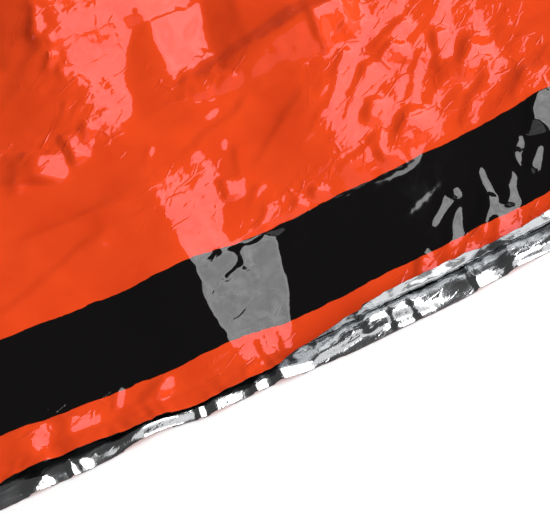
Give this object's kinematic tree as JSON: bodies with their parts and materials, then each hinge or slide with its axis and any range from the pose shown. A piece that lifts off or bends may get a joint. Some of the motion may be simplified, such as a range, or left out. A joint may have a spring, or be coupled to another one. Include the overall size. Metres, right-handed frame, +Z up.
{
  "type": "emergency sleeping bag",
  "caption": "Flat sack of metallised film, welded along both sides and the foot and open at the mouth, lying on its back with a little air inside.",
  "frame": {"origin": "on the surface that the bag lies on, under the middle of its outline", "axes": "+X across the bag, +Y from the open mouth to the closed foot, +Z up from the lower panel to the upper one"},
  "size_m": [1, 2, 0.0393],
  "materials": {
    "outer_film": "glossy orange film with a printed black band",
    "inner_film": "bright vacuum-metallised silver"
  },
  "bodies": {
    "root": {"lower_panel": "inner_film", "upper_panel": "outer_film"}
  },
  "joints": []
}
